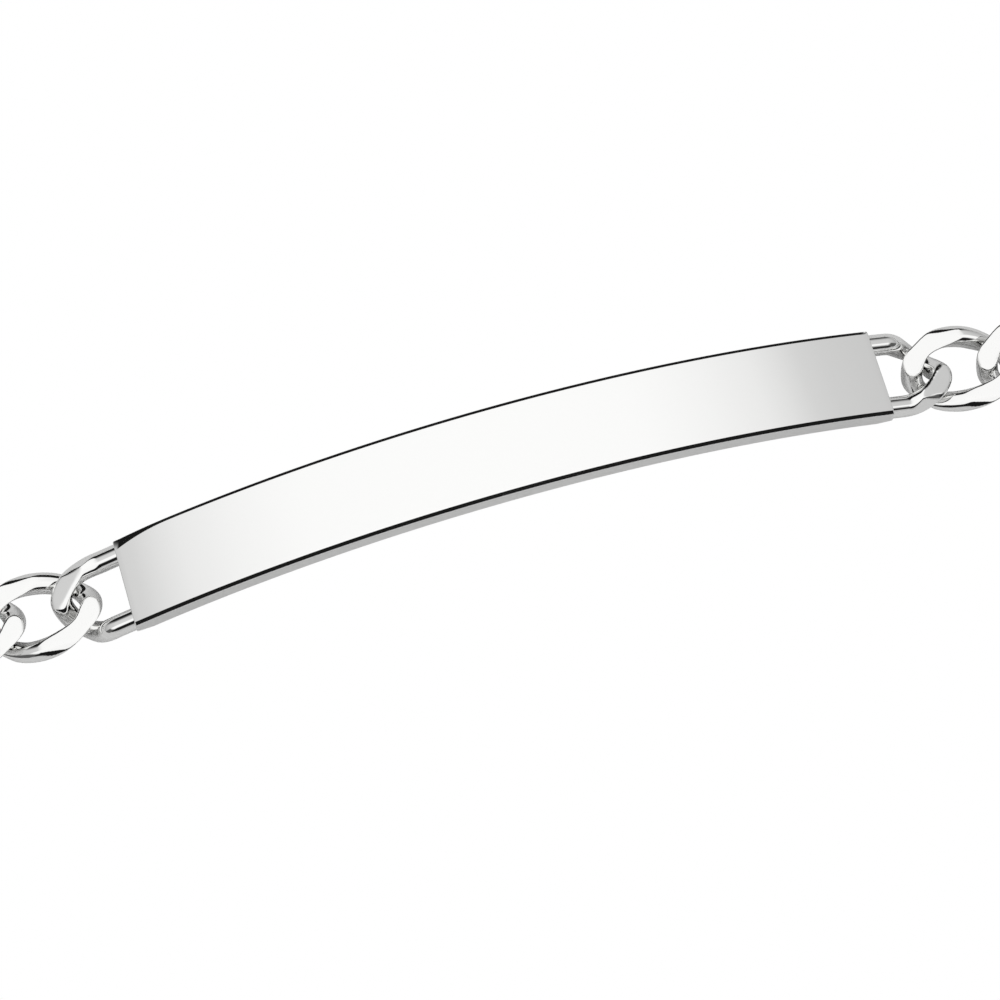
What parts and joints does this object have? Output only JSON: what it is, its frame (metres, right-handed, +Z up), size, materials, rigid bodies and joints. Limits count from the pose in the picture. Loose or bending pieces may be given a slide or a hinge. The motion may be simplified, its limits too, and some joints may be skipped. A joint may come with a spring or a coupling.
{
  "type": "id bracelet",
  "caption": "Polished silver identity bracelet: an arched, blank name plate with a loop soldered to each end, on a flat diamond-cut curb chain that closes at a plain clasp.",
  "frame": {"origin": "middle of the table side of the whole closed loop", "axes": "+X along the name plate and the loop's longest extent, +Y from the plate to the clasp, +Z up, the way the plate's face looks"},
  "size_m": [0.0878, 0.0456, 0.0078],
  "materials": {
    "silver_plate": "sterling silver, mirror polished and rhodium plated",
    "silver_links": "sterling silver, diamond cut and polished",
    "silver_clasp": "sterling silver, polished"
  },
  "bodies": {
    "root": {"id_plate": "silver_plate", "end_ring": "silver_clasp", "clasp": "silver_clasp", "clasp_ring": "silver_clasp", "link_01": "silver_links", "link_02": "silver_links", "link_03": "silver_links", "link_04": "silver_links", "link_05": "silver_links", "link_06": "silver_links", "link_07": "silver_links", "link_08": "silver_links", "link_09": "silver_links", "link_10": "silver_links", "link_11": "silver_links", "link_12": "silver_links", "link_13": "silver_links", "link_14": "silver_links", "link_15": "silver_links", "link_16": "silver_links", "link_17": "silver_links", "link_18": "silver_links", "link_19": "silver_links", "link_20": "silver_links", "link_21": "silver_links", "link_22": "silver_links", "link_23": "silver_links", "link_24": "silver_links", "link_25": "silver_links", "link_26": "silver_links", "link_27": "silver_links", "link_28": "silver_links", "link_29": "silver_links", "link_30": "silver_links", "link_31": "silver_links", "link_32": "silver_links", "link_33": "silver_links", "link_34": "silver_links", "link_35": "silver_links", "link_36": "silver_links"}
  },
  "joints": []
}
